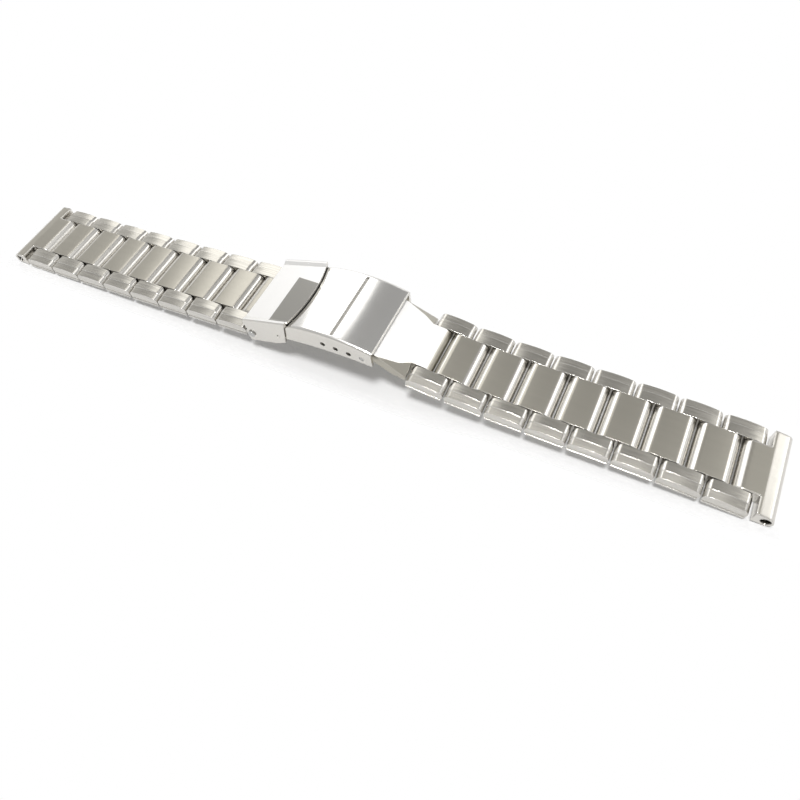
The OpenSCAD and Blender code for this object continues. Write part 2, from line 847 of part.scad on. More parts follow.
// Plate from the spring bar to the first pivot pin of the right strand.
module clasp_link_right() {
    slope = right_slope(0);
    bar_in = seen_from(bar + [clasp_x, 0], [right_x(1), right_z(1)], slope);
    tube_r = bar_r + bar_wall;
    base_end = -end_in - plate_gap;
    color(steel)
        translate([right_x(1), 0, right_z(1)])
            rotate([0, slope, 0])
                difference() {
                    union() {
                        across(-center_w / 2, center_w / 2)
                            center_outline(base_end - plate_foot, end_in);
                        rod(bar_in, tube_r, -wall_in + knuckle_play, wall_in - knuckle_play);
                        difference() {
                            intersection() {
                                across(-big, big)
                                    polygon([
                                        [bar_in[0], bar_in[1] - tube_r * plate_low_share],
                                        [bar_in[0], bar_in[1] + tube_r * plate_high_share],
                                        [base_end - plate_top, half_t],
                                        [base_end, half_t],
                                        [base_end, -half_t],
                                        [base_end - plate_foot, -half_t]]);
                                translate([0, 0, -big])
                                    linear_extrude(2 * big)
                                        polygon([
                                            [bar_in[0], plate_half_w],
                                            [bar_in[0] + plate_straight, plate_half_w],
                                            [base_end, plate_end_half_w],
                                            [base_end, -plate_end_half_w],
                                            [bar_in[0] + plate_straight, -plate_half_w],
                                            [bar_in[0], -plate_half_w]]);
                            }
                            both_sides()
                                translate([base_end, center_w / 2, half_t])
                                    rotate([-bevel_roll, bevel_pitch, 0])
                                        translate([-big, -big, 0])
                                            cube([2 * big, 2 * big, big]);
                        }
                    }
                    rod(bar_in, bar_r + run_clearance, -big, big);
                    rod([0, 0], pin_r + run_clearance, -big, big);
                    seam(base_end, end_in + margin);
                }
}

// Short barrel link between the outer blade and the left strand.
module clasp_link_left() {
    slope = left_slope(0);
    pin_in = seen_from([-catch_x - clasp_x, catch_z], [left_x(1), left_z(1)], slope);
    barrel_r = knuckle_r + barrel_step;
    color(steel)
        on_left(1)
            difference() {
                union() {
                    across(-center_w / 2, center_w / 2)
                        center_outline(pin_in[0] + lap, end_in);
                    rod(pin_in, barrel_r, -center_w / 2, center_w / 2);
                }
                rod(pin_in, pin_r + run_clearance, -big, big);
                rod([0, 0], pin_r + run_clearance, -big, big);
                seam(pin_in[0], end_in + margin);
            }
}

module outer_links_right_1() {
    color(steel)
        on_right(1)
            outer_pair();
}

module outer_links_right_2() {
    color(steel)
        on_right(2)
            outer_pair();
}

module outer_links_right_3() {
    color(steel)
        on_right(3)
            outer_pair();
}

module outer_links_right_4() {
    color(steel)
        on_right(4)
            outer_pair();
}

module outer_links_right_5() {
    color(steel)
        on_right(5)
            outer_pair();
}

module outer_links_right_6() {
    color(steel)
        on_right(6)
            outer_pair();
}

module outer_links_right_7() {
    color(steel)
        on_right(7)
            outer_pair();
}

module outer_links_right_8() {
    color(steel)
        on_right(8)
            outer_pair();
}

module center_link_right_1() {
    color(bright_steel)
        on_right(1)
            center_link();
}

module center_link_right_2() {
    color(bright_steel)
        on_right(2)
            center_link();
}

module center_link_right_3() {
    color(bright_steel)
        on_right(3)
            center_link();
}

module center_link_right_4() {
    color(bright_steel)
        on_right(4)
            center_link();
}

module center_link_right_5() {
    color(bright_steel)
        on_right(5)
            center_link();
}

module center_link_right_6() {
    color(bright_steel)
        on_right(6)
            center_link();
}

module center_link_right_7() {
    color(bright_steel)
        on_right(7)
            center_link();
}

module end_link_right() {
    color(steel)
        on_right(8)
            end_link();
}

module pins_right_1() {
    color(pin_steel)
        on_right(1)
            pin_pair();
}

module pins_right_2() {
    color(pin_steel)
        on_right(2)
            pin_pair();
}

module pins_right_3() {
    color(pin_steel)
        on_right(3)
            pin_pair();
}

module pins_right_4() {
    color(pin_steel)
        on_right(4)
            pin_pair();
}

module pins_right_5() {
    color(pin_steel)
        on_right(5)
            pin_pair();
}

module pins_right_6() {
    color(pin_steel)
        on_right(6)
            pin_pair();
}

module pins_right_7() {
    color(pin_steel)
        on_right(7)
            pin_pair();
}

module pins_right_8() {
    color(pin_steel)
        on_right(8)
            pin_pair();
}

module outer_links_left_1() {
    color(steel)
        on_left(1)
            outer_pair();
}

module outer_links_left_2() {
    color(steel)
        on_left(2)
            outer_pair();
}

module outer_links_left_3() {
    color(steel)
        on_left(3)
            outer_pair();
}

module outer_links_left_4() {
    color(steel)
        on_left(4)
            outer_pair();
}

module outer_links_left_5() {
    color(steel)
        on_left(5)
            outer_pair();
}

module outer_links_left_6() {
    color(steel)
        on_left(6)
            outer_pair();
}

module outer_links_left_7() {
    color(steel)
        on_left(7)
            outer_pair();
}

module outer_links_left_8() {
    color(steel)
        on_left(8)
            outer_pair();
}

module center_link_left_1() {
    color(bright_steel)
        on_left(1)
            center_link();
}

module center_link_left_2() {
    color(bright_steel)
        on_left(2)
            center_link();
}

module center_link_left_3() {
    color(bright_steel)
        on_left(3)
            center_link();
}

module center_link_left_4() {
    color(bright_steel)
        on_left(4)
            center_link();
}

module center_link_left_5() {
    color(bright_steel)
        on_left(5)
            center_link();
}

module center_link_left_6() {
    color(bright_steel)
        on_left(6)
            center_link();
}

module center_link_left_7() {
    color(bright_steel)
        on_left(7)
            center_link();
}

module end_link_left() {
    color(steel)
        on_left(8)
            end_link();
}

module pins_left_1() {
    color(pin_steel)
        on_left(1)
            pin_pair();
}

module pins_left_2() {
    color(pin_steel)
        on_left(2)
            pin_pair();
}

module pins_left_3() {
    color(pin_steel)
        on_left(3)
            pin_pair();
}

module pins_left_4() {
    color(pin_steel)
        on_left(4)
            pin_pair();
}

module pins_left_5() {
    color(pin_steel)
        on_left(5)
            pin_pair();
}

module pins_left_6() {
    color(pin_steel)
        on_left(6)
            pin_pair();
}

module pins_left_7() {
    color(pin_steel)
        on_left(7)
            pin_pair();
}

module pins_left_8() {
    color(pin_steel)
        on_left(8)
            pin_pair();
}

clasp_cover();
safety_catch();
catch_rivets();
spring_bar_right();
clasp_pin_left();
blade_pins();
inner_blade();
outer_blade();
clasp_link_right();
clasp_link_left();
outer_links_right_1();
outer_links_right_2();
outer_links_right_3();
outer_links_right_4();
outer_links_right_5();
outer_links_right_6();
outer_links_right_7();
outer_links_right_8();
center_link_right_1();
center_link_right_2();
center_link_right_3();
center_link_right_4();
center_link_right_5();
center_link_right_6();
center_link_right_7();
end_link_right();
pins_right_1();
pins_right_2();
pins_right_3();
pins_right_4();
pins_right_5();
pins_right_6();
pins_right_7();
pins_right_8();
outer_links_left_1();
outer_links_left_2();
outer_links_left_3();
outer_links_left_4();
outer_links_left_5();
outer_links_left_6();
outer_links_left_7();
outer_links_left_8();
center_link_left_1();
center_link_left_2();
center_link_left_3();
center_link_left_4();
center_link_left_5();
center_link_left_6();
center_link_left_7();
end_link_left();
pins_left_1();
pins_left_2();
pins_left_3();
pins_left_4();
pins_left_5();
pins_left_6();
pins_left_7();
pins_left_8();
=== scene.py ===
"""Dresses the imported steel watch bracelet: brushed and polished steel, a pale table, lights and camera."""

import math

import bpy
from bpy.props import FloatProperty, FloatVectorProperty, PointerProperty
from mathutils import Euler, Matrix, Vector

bl_info = {
    "name": "Steel watch bracelet",
    "version": (1, 0, 0),
    "blender": (4, 5, 0),
    "location": "View3D > Sidebar > Bracelet",
    "description": "Finishes, table, lights and camera for a steel watch bracelet with a folding clasp",
    "category": "Object",
}

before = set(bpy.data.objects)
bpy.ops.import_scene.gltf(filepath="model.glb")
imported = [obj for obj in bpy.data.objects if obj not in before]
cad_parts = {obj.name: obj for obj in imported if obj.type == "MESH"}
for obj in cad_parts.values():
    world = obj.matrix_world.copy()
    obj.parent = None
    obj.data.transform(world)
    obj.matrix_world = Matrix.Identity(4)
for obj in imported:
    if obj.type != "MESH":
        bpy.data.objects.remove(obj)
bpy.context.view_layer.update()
MM = 0.001


# Places on the bracelet

# How far from x 0 the first middle link's crown is on each side, and the crowns' pitch and radius
FIRST_CROWN = {"right": 26.98 * MM, "left": 26.85 * MM}
LINK_PITCH = 8.17 * MM
CROWN_RADIUS = 40.0 * MM
# Centre and radius of the round roof of the clasp cover, seen along y
ROOF_CENTRE = (2.26 * MM, 0.0, -21.65 * MM)
ROOF_RADIUS = 34.0 * MM
# Depths under the roof between which its groove's floor is painted darker as shade, and how level a floor is
# at least
GROOVE_DEPTHS = (0.06 * MM, 0.12 * MM)
GROOVE_LEVEL = 0.9
# The patch on the catch's lip painted dark as a reflection: x of the bend, y of its sides, and how fast the
# far side leans in
LIP_PAINTED_REFLECTION = {"Bend": -11.94 * MM, "Far edge": 4.4 * MM, "Near edge": -8.4 * MM, "Slant": 0.22}
# Width over which the patch comes in at its borders
PATCH_FADE = 0.12 * MM


# Look of the steel

# Detail of the fine and of the broad noise in the grain
FINE_DETAIL = 3.0
BROAD_DETAIL = 2.0
# Shades of the darkest and of the lightest streak
STREAK_SHADES = (0.6, 1.15)
# How much the grain changes the roughness, how strongly it shows as relief, and how deep that relief is
GRAIN_ROUGHNESS = 0.12
GRAIN_STRENGTH = 0.2
GRAIN_DEPTH = 0.003 * MM
# How well the rounded normal agrees with the flat one where an edge begins, and where its polish is full
EDGE_AGREEMENT = (0.999, 0.90)
EDGE_SAMPLES = 6
# Roughness of the broken edges, as a share of the faces' own
EDGE_ROUGHNESS = 0.6
# Radius of the end links' and of the pins' broken edges, in times the edge radius that is set
END_EDGE = 5.0
PIN_EDGE = 0.5
# Scale and detail of the noise behind the marks from handling
MARK_SCALE = 160.0
MARK_DETAIL = 4.0
# How far from the least level that counts as looking up, 0, to fully level, 1, the top's finish is full
TOP_FULL = 0.3


# The stage

# Width of the camera's sensor in mm, and from where to where it sees, in metres
SENSOR_WIDTH = 36.0
CLIP_START = 0.005
CLIP_END = 20.0
# Half the side of the table, and how far it lies under the bracelet
TABLE_HALF = 1.5
TABLE_GAP = 0.1 * MM
# Half widths of the shadow beside the clasp and beside the links, and the x between which it narrows
SHADOW_HALVES = (10.0 * MM, 8.5 * MM)
SHADOW_NARROWS = (22.0 * MM, 40.0 * MM)
# The x at which the shadow begins to end, and the width over which it fades there and at its sides
SHADOW_END = 89.0 * MM
SHADOW_FADE = 5.0 * MM
# Brightness of the room at heights from the horizon, 0, to overhead, 1
ROOM_LEVELS = ((0.0, 1.0), (0.3, 0.95), (0.55, 0.6), (0.8, 0.55), (0.93, 0.75), (1.0, 0.9))
# Middle of the dark screen in degrees round from x and degrees up, and the angles to its rim and its core
SCREEN_PLACE = (95.0, 61.0)
SCREEN_RIM = 17.0
SCREEN_CORE = 9.0
# Name and setting of each lamp, its place in degrees round from x and degrees up, and its two sides
LAMPS = (
    ("Near light", "near", -60.0, 80.0, (0.35, 0.35)),
    ("Top light", "top", 90.0, 80.0, (0.9, 0.6)),
    ("Key light", "key", 131.5, 39.5, (0.6, 0.95)),
    ("Fill light", "fill", 42.0, 33.0, (0.5, 0.55)),
)
LAMP_DISTANCE = 1.5


# Settings that a user would change

class BraceletCamera(bpy.types.PropertyGroup):
    place: FloatVectorProperty(
        name="Place", description="Where the camera stands", subtype="TRANSLATION", unit="LENGTH", size=3,
        default=(0.0608761, -0.0747048, 0.1180339), precision=5)
    turn: FloatVectorProperty(
        name="Turn", description="How the camera is turned", subtype="EULER", size=3,
        default=(math.radians(33.1322), math.radians(5.1500), math.radians(25.8229)))
    lens: FloatProperty(
        name="Lens", description="Focal length on a 36 mm sensor, in mm", default=31.586,
        min=10.0, max=200.0)


class BraceletSteel(bpy.types.PropertyGroup):
    polished: FloatVectorProperty(
        name="Polished steel", description="Colour of the polished edges and walls",
        subtype="COLOR", size=3, min=0.0, max=1.0, default=(0.68, 0.66, 0.62))
    brushed: FloatVectorProperty(
        name="Brushed steel", description="Colour of the brushed tops, the plate's sides and the blades",
        subtype="COLOR", size=3, min=0.0, max=1.0, default=(0.438, 0.416, 0.36))
    worn: FloatVectorProperty(
        name="Worn steel", description="Colour of the outer links, which are brushed and polished over",
        subtype="COLOR", size=3, min=0.0, max=1.0, default=(0.55, 0.528, 0.475))
    mirror: FloatVectorProperty(
        name="Mirror steel", description="Colour of the mirror polished cover and the outer links' edges",
        subtype="COLOR", size=3, min=0.0, max=1.0, default=(0.85, 0.835, 0.805))
    satin: FloatVectorProperty(
        name="Satin steel", description="Colour of the bright satin plates of the clasp",
        subtype="COLOR", size=3, min=0.0, max=1.0, default=(0.93, 0.92, 0.90))
    # A dark colour painted on the catch's lip as a reflection and in the cover's groove as shade
    lip: FloatVectorProperty(
        name="Painted dark steel", description="Colour of the dark reflection painted on the catch's lip and of the shade painted in the cover's groove",
        subtype="COLOR", size=3, min=0.0, max=1.0, default=(0.33, 0.32, 0.295))
    pin: FloatVectorProperty(
        name="Pin steel", description="Colour of the pins, the rivets and the spring bar",
        subtype="COLOR", size=3, min=0.0, max=1.0, default=(0.48, 0.48, 0.47))
    edge_radius: FloatProperty(
        name="Edge radius", description="Radius of the broken edges", unit="LENGTH", default=0.00012,
        min=0.0, max=0.001, precision=5)


class BraceletStage(bpy.types.PropertyGroup):
    floor: FloatVectorProperty(
        name="Table", description="Colour of the table", subtype="COLOR", size=3, min=0.0, max=1.0,
        default=(0.92, 0.92, 0.92))
    glow: FloatProperty(
        name="Table glow", description="What the table adds for the camera and in reflections", default=0.14,
        min=0.0, max=1.0)
    near: FloatProperty(
        name="Near light", description="Power of the small lamp over the near side, which casts the shadow",
        unit="POWER", default=13.5, min=0.0, max=40.0)
    top: FloatProperty(
        name="Top light", description="Power of the broad panel overhead", unit="POWER", default=1.5,
        min=0.0, max=40.0)
    key: FloatProperty(
        name="Key light", description="Power of the panel over the far left", unit="POWER", default=2.9,
        min=0.0, max=40.0)
    fill: FloatProperty(
        name="Fill light", description="Power of the panel over the far right", unit="POWER", default=1.8,
        min=0.0, max=40.0)
    sky: FloatProperty(
        name="Sky", description="Strength of the room, as seen and in reflections", default=1.0,
        min=0.0, max=2.0)
    ambient: FloatProperty(
        name="Ambient", description="Share of the room's light that reaches matt surfaces",
        subtype="FACTOR", default=0.22, min=0.0, max=1.0)
    screen: FloatProperty(
        name="Dark screen", description="Brightness of the dark screen behind the bracelet", default=0.36,
        min=0.0, max=1.0)


# Shader helpers, which take sockets or plain values and give the sockets of what they made

def feed(tree, socket, value):
    """Links the value to the socket if it is a socket itself, and otherwise sets it as the socket's own."""
    if isinstance(value, bpy.types.NodeSocket):
        tree.links.new(value, socket)
    else:
        socket.default_value = value


def feed_named(tree, node, values):
    """Feeds each of the node's named inputs."""
    for name, value in values.items():
        feed(tree, node.inputs[name], value)


def maths(tree, operation, *values):
    """A Math node."""
    node = tree.nodes.new("ShaderNodeMath")
    node.operation = operation
    for socket, value in zip(node.inputs, values):
        feed(tree, socket, value)
    return node.outputs[0]


def vector_maths(tree, operation, first, second):
    """A Vector Math node. A distance or a dot product is a number, and anything else is a vector."""
    node = tree.nodes.new("ShaderNodeVectorMath")
    node.operation = operation
    feed(tree, node.inputs[0], first)
    feed(tree, node.inputs[1], second)
    return node.outputs["Value" if operation in ("DISTANCE", "DOT_PRODUCT") else "Vector"]


def ramp(tree, value, start, end, first=0.0, last=1.0, shape="LINEAR"):
    """Goes from first to last while the value goes from start to end, and stays level outside them."""
    node = tree.nodes.new("ShaderNodeMapRange")
    node.interpolation_type = shape
    feed_named(tree, node, {
        "Value": value, "From Min": start, "From Max": end, "To Min": first, "To Max": last})
    return node.outputs["Result"]


def mixed(tree, kind, factor, first, second, blend="MIX"):
    """A Mix node for colours, RGBA, or for numbers, FLOAT."""
    node = tree.nodes.new("ShaderNodeMix")
    node.data_type = kind
    node.blend_type = blend
    feed_named(tree, node, {"Factor": factor, "A": first, "B": second})
    return node.outputs["Result"]


def noise(tree, place, scale, detail):
    """Cloudy noise."""
    node = tree.nodes.new("ShaderNodeTexNoise")
    feed_named(tree, node, {"Vector": place, "Scale": scale, "Detail": detail})
    return node.outputs["Fac"]


def bump(tree, height, strength, distance, normal):
    """The normal, tilted by the slope of the height."""
    node = tree.nodes.new("ShaderNodeBump")
    feed_named(tree, node, {
        "Strength": strength, "Distance": distance, "Height": height, "Normal": normal})
    return node.outputs["Normal"]


def coordinate(tree, name="Object"):
    """A texture coordinate. Object is the place and Normal the face's direction, in the piece's frame."""
    return tree.nodes.new("ShaderNodeTexCoord").outputs[name]


def split(tree, vector):
    """The X, Y and Z of a vector."""
    node = tree.nodes.new("ShaderNodeSeparateXYZ")
    feed(tree, node.inputs[0], vector)
    return node.outputs


# Node groups

def new_group(name, inputs, outputs):
    """An empty shader node group with the named sockets."""
    group = bpy.data.node_groups.new(name, "ShaderNodeTree")
    for socket, kind, value in inputs:
        made = group.interface.new_socket(socket, in_out="INPUT", socket_type=kind)
        made.default_value = value
    for socket, kind in outputs:
        group.interface.new_socket(socket, in_out="OUTPUT", socket_type=kind)
    return group, group.nodes.new("NodeGroupInput").outputs, group.nodes.new("NodeGroupOutput").inputs


def brushed_grain(name):
    """Fine scratches along x: stretched noise, as a fine height and as broad streaks for the colour."""
    group, given, out = new_group(
        name,
        [("Fineness", "NodeSocketFloat", 9000.0), ("Breadth", "NodeSocketFloat", 900.0),
         ("Length", "NodeSocketFloat", 0.02)],
        [("Height", "NodeSocketFloat"), ("Streak", "NodeSocketFloat")])
    stretch = group.nodes.new("ShaderNodeCombineXYZ")
    feed_named(group, stretch, {"X": given["Length"], "Y": 1.0, "Z": 1.0})
    laid = vector_maths(group, "MULTIPLY", coordinate(group), stretch.outputs[0])
    feed(group, out["Height"], noise(group, laid, given["Fineness"], FINE_DETAIL))
    feed(group, out["Streak"], noise(group, laid, given["Breadth"], BROAD_DETAIL))
    return group


def edge_shine(name):
    """Broken edges: where the rounded normal leaves the flat one, the mask rises to 1."""
    group, given, out = new_group(
        name,
        [("Radius", "NodeSocketFloat", 0.12 * MM)],
        [("Mask", "NodeSocketFloat"), ("Normal", "NodeSocketVector")])
    bevel = group.nodes.new("ShaderNodeBevel")
    bevel.samples = EDGE_SAMPLES
    feed(group, bevel.inputs["Radius"], given["Radius"])
    rounded = bevel.outputs["Normal"]
    flat = group.nodes.new("ShaderNodeNewGeometry").outputs["Normal"]
    agreement = vector_maths(group, "DOT_PRODUCT", rounded, flat)
    feed(group, out["Mask"], ramp(group, agreement, *EDGE_AGREEMENT))
    feed(group, out["Normal"], rounded)
    return group


def handling_marks(name):
    """Faint cloudy marks from handling, as a change of roughness that is 0 on average."""
    group, given, out = new_group(
        name,
        [("Amount", "NodeSocketFloat", 0.04)],
        [("Value", "NodeSocketFloat")])
    centred = maths(group, "SUBTRACT", noise(group, coordinate(group), MARK_SCALE, MARK_DETAIL), 0.5)
    feed(group, out["Value"], maths(group, "MULTIPLY", centred, given["Amount"]))
    return group


def lip_painted_reflection(name):
    """A mask for the patch on the lip of the catch that is painted dark as a reflection: past the bend along
    x, and between two lines across y.
    """
    group, given, out = new_group(
        name,
        [("Bend", "NodeSocketFloat", 0.0), ("Far edge", "NodeSocketFloat", 0.0),
         ("Near edge", "NodeSocketFloat", 0.0), ("Slant", "NodeSocketFloat", 0.0)],
        [("Mask", "NodeSocketFloat")])
    place = split(group, coordinate(group))
    past = maths(group, "SUBTRACT", place["X"], given["Bend"])
    drawn_in = maths(group, "MULTIPLY_ADD", past, given["Slant"], place["Y"])
    short = maths(group, "SUBTRACT", given["Far edge"], drawn_in)
    beyond = maths(group, "SUBTRACT", place["Y"], given["Near edge"])
    along, far, near = [ramp(group, reach, 0.0, PATCH_FADE) for reach in (past, short, beyond)]
    feed(group, out["Mask"], maths(group, "MULTIPLY", along, maths(group, "MULTIPLY", far, near)))
    return group


def top_faces(name):
    """The mask is 1 on faces that look up in the piece's own frame, and 0 on its bevels and walls."""
    group, given, out = new_group(
        name,
        [("Least", "NodeSocketFloat", 0.82), ("Full", "NodeSocketFloat", 0.90)],
        [("Mask", "NodeSocketFloat")])
    level = split(group, coordinate(group, "Normal"))["Z"]
    feed(group, out["Mask"], ramp(group, level, given["Least"], given["Full"]))
    return group


def groove_painted_shade(name):
    """The mask is 1 inside the cylinder of the roof, so on the floor of the groove that crosses it, which is
    painted darker as shade.
    """
    group, given, out = new_group(
        name,
        [("Centre", "NodeSocketVector", (0.0, 0.0, 0.0)), ("Radius", "NodeSocketFloat", ROOF_RADIUS)],
        [("Mask", "NodeSocketFloat")])
    flat = vector_maths(group, "MULTIPLY", coordinate(group), (1.0, 0.0, 1.0))
    reach = vector_maths(group, "DISTANCE", flat, given["Centre"])
    inside = ramp(group, maths(group, "SUBTRACT", given["Radius"], reach), *GROOVE_DEPTHS)
    level = maths(group, "GREATER_THAN", split(group, coordinate(group, "Normal"))["Z"], GROOVE_LEVEL)
    feed(group, out["Mask"], maths(group, "MULTIPLY", inside, level))
    return group


def crown(name):
    """The slight crown of each middle link along the strand, as a height that repeats with the pitch.

    It falls by the square of the distance from the nearest crown, over twice the radius.
    """
    group, given, out = new_group(
        name,
        [("First", "NodeSocketFloat", 0.0), ("Pitch", "NodeSocketFloat", LINK_PITCH),
         ("Radius", "NodeSocketFloat", CROWN_RADIUS)],
        [("Height", "NodeSocketFloat")])
    from_middle = maths(group, "ABSOLUTE", split(group, coordinate(group))["X"])
    along = maths(group, "SUBTRACT", from_middle, given["First"])
    turns = maths(group, "DIVIDE", along, given["Pitch"])
    off_turn = maths(group, "SUBTRACT", turns, maths(group, "ROUND", turns))
    off = maths(group, "MULTIPLY", off_turn, given["Pitch"])
    width = maths(group, "MULTIPLY", given["Radius"], 2.0)
    fall = maths(group, "DIVIDE", maths(group, "MULTIPLY", off, off), width)
    feed(group, out["Height"], maths(group, "MULTIPLY", fall, -1.0))
    return group


def shadow_place(name):
    """Clear is 0 where the shadow of the resting bracelet falls on the table, and 1 away from it.

    The shadow is widest under the clasp, which stands highest.
    """
    group, _, out = new_group(name, [], [("Clear", "NodeSocketFloat")])
    place = split(group, coordinate(group))
    along, aside = [maths(group, "ABSOLUTE", place[axis]) for axis in "XY"]
    half = ramp(group, along, *SHADOW_NARROWS, *SHADOW_HALVES, shape="SMOOTHSTEP")
    beside = maths(group, "SUBTRACT", aside, half)
    past_side = ramp(group, beside, 0.0, SHADOW_FADE, shape="SMOOTHSTEP")
    past_end = ramp(group, along, SHADOW_END, SHADOW_END + SHADOW_FADE, shape="SMOOTHSTEP")
    feed(group, out["Clear"], maths(group, "MAXIMUM", past_side, past_end))
    return group


GROUPS = {
    "Brushed grain": brushed_grain,
    "Edge shine": edge_shine,
    "Handling marks": handling_marks,
    "Finish border": lip_painted_reflection,
    "Top faces": top_faces,
    "Groove floor": groove_painted_shade,
    "Crown": crown,
    "Shadow place": shadow_place,
}


def placed(tree, name, values):
    """The outputs of the named group, placed in the tree with its own values. Its first use builds it."""
    node = tree.nodes.new("ShaderNodeGroup")
    node.node_tree = bpy.data.node_groups.get(name) or GROUPS[name](name)
    feed_named(tree, node, values)
    return node.outputs


# Materials

def new_material(name):
    """A material with nodes, and its tree."""
    material = bpy.data.materials.new(name)
    material.use_nodes = True
    return material, material.node_tree


def steel_material(name, colour, shine, edge_radius, roughness, grain=1.0, fineness=9000.0, breadth=900.0,
                   grain_length=0.03, streak=0.15, marks=0.05, top=None, level=0.82, lip=None, groove=None,
                   first_crown=None):
    """Steel with a directional grain on its faces and polished, slightly brighter edges.

    Where they are given, top, lip and groove are the colour and roughness of the faces that look up, of
    the catch's lip, painted dark as a reflection, and of the groove in the cover, painted darker as shade.
    level is how level a face is that counts as looking up, and first_crown is where the first middle link is
    highest.
    """
    material, tree = new_material(name)
    steel = tree.nodes["Principled BSDF"]
    steel.inputs["Metallic"].default_value = 1.0
    brush = placed(tree, "Brushed grain", {"Fineness": fineness, "Breadth": breadth, "Length": grain_length})
    edge = placed(tree, "Edge shine", {"Radius": edge_radius})
    mark = placed(tree, "Handling marks", {"Amount": marks})

    # The grain's height is a half on average, so the mean roughness is the one given.
    change = GRAIN_ROUGHNESS * grain
    face = maths(tree, "MULTIPLY_ADD", brush["Height"], change, roughness - 0.5 * change)
    face = maths(tree, "ADD", face, mark["Value"])
    tint = (*colour, 1.0)
    patches = []
    if top:
        full = level + TOP_FULL * (1.0 - level)
        patches.append((placed(tree, "Top faces", {"Least": level, "Full": full}), top))
    # A dark patch painted on the catch's lip, standing in for a reflection
    if lip:
        patches.append((placed(tree, "Finish border", LIP_PAINTED_REFLECTION), lip))
    # The groove's floor painted darker, standing in for the shade in it
    if groove:
        patches.append((placed(tree, "Groove floor", {"Centre": ROOF_CENTRE}), groove))
    for patch, (patch_colour, patch_roughness) in patches:
        tint = mixed(tree, "RGBA", patch["Mask"], tint, (*patch_colour, 1.0))
        face = mixed(tree, "FLOAT", patch["Mask"], face, patch_roughness)
    tint = mixed(tree, "RGBA", edge["Mask"], tint, (*shine, 1.0))
    shade = ramp(tree, brush["Streak"], 0.0, 1.0, *STREAK_SHADES)
    feed_named(tree, steel, {
        "Base Color": mixed(tree, "RGBA", streak, tint, shade, "MULTIPLY"),
        "Roughness": mixed(tree, "FLOAT", edge["Mask"], face, roughness * EDGE_ROUGHNESS)})

    normal = bump(tree, brush["Height"], GRAIN_STRENGTH * grain, GRAIN_DEPTH, edge["Normal"])
    if first_crown:
        # The crown's height is a real one in metres, so it counts in full.
        normal = bump(tree, placed(tree, "Crown", {"First": first_crown})["Height"], 1.0, 1.0, normal)
    feed(tree, steel.inputs["Normal"], normal)
    return material


def table_material(colour, glow):
    """A matt table that glows a little for the camera and in the steel.

    It can't be seen from below, and the camera sees it only where the shadow falls, because the white room
    shows through the rest. Where the shadow falls it hides what hangs below it.
    """
    material, tree = new_material("table")
    tree.nodes.remove(tree.nodes["Principled BSDF"])
    path = tree.nodes.new("ShaderNodeLightPath").outputs
    matt = tree.nodes.new("ShaderNodeBsdfDiffuse")
    matt.inputs["Color"].default_value = (*colour, 1.0)
    glowing = tree.nodes.new("ShaderNodeEmission")
    seen = maths(tree, "SUBTRACT", 1.0, path["Is Diffuse Ray"])
    feed(tree, glowing.inputs["Strength"], maths(tree, "MULTIPLY", seen, glow))
    both = tree.nodes.new("ShaderNodeAddShader")
    feed(tree, both.inputs[0], matt.outputs[0])
    feed(tree, both.inputs[1], glowing.outputs[0])
    seen_clear = maths(tree, "MULTIPLY", placed(tree, "Shadow place", {})["Clear"], path["Is Camera Ray"])
    below = tree.nodes.new("ShaderNodeNewGeometry").outputs["Backfacing"]
    nothing = tree.nodes.new("ShaderNodeBsdfTransparent")
    fade = tree.nodes.new("ShaderNodeMixShader")
    feed(tree, fade.inputs["Fac"], maths(tree, "MAXIMUM", seen_clear, below))
    feed(tree, fade.inputs[1], both.outputs[0])
    feed(tree, fade.inputs[2], nothing.outputs[0])
    feed(tree, tree.nodes["Material Output"].inputs["Surface"], fade.outputs[0])
    return material


# CAD nodes and directions

def dress(nodes, material):
    """Puts the material in every slot of the named CAD nodes."""
    for name in nodes:
        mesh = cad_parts[name].data
        mesh.materials.clear()
        mesh.materials.append(material)


def named(start):
    """The names of the CAD nodes that begin so."""
    found = [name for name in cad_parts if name.startswith(start)]
    if not found:
        raise RuntimeError("no CAD node begins with " + start)
    return found


def direction(turn, height):
    """The unit vector that points turn degrees round from x and height degrees up."""
    turn, height = math.radians(turn), math.radians(height)
    return Vector((math.cos(turn) * math.cos(height), math.sin(turn) * math.cos(height), math.sin(height)))


# Operators, one for each group of like pieces

class BRACELET_OT_camera(bpy.types.Operator):
    """Stands the camera where the photographer stood"""
    bl_idname = "bracelet.camera"
    bl_label = "Camera"

    def execute(self, context):
        chosen = context.scene.bracelet_camera
        data = bpy.data.cameras.new("Camera")
        data.sensor_width = SENSOR_WIDTH
        data.sensor_fit = "HORIZONTAL"
        data.lens = chosen.lens
        data.clip_start = CLIP_START
        data.clip_end = CLIP_END
        camera = bpy.data.objects.new("Camera", data)
        camera.location = chosen.place
        camera.rotation_euler = Euler(chosen.turn)
        context.scene.collection.objects.link(camera)
        context.scene.camera = camera
        return {"FINISHED"}


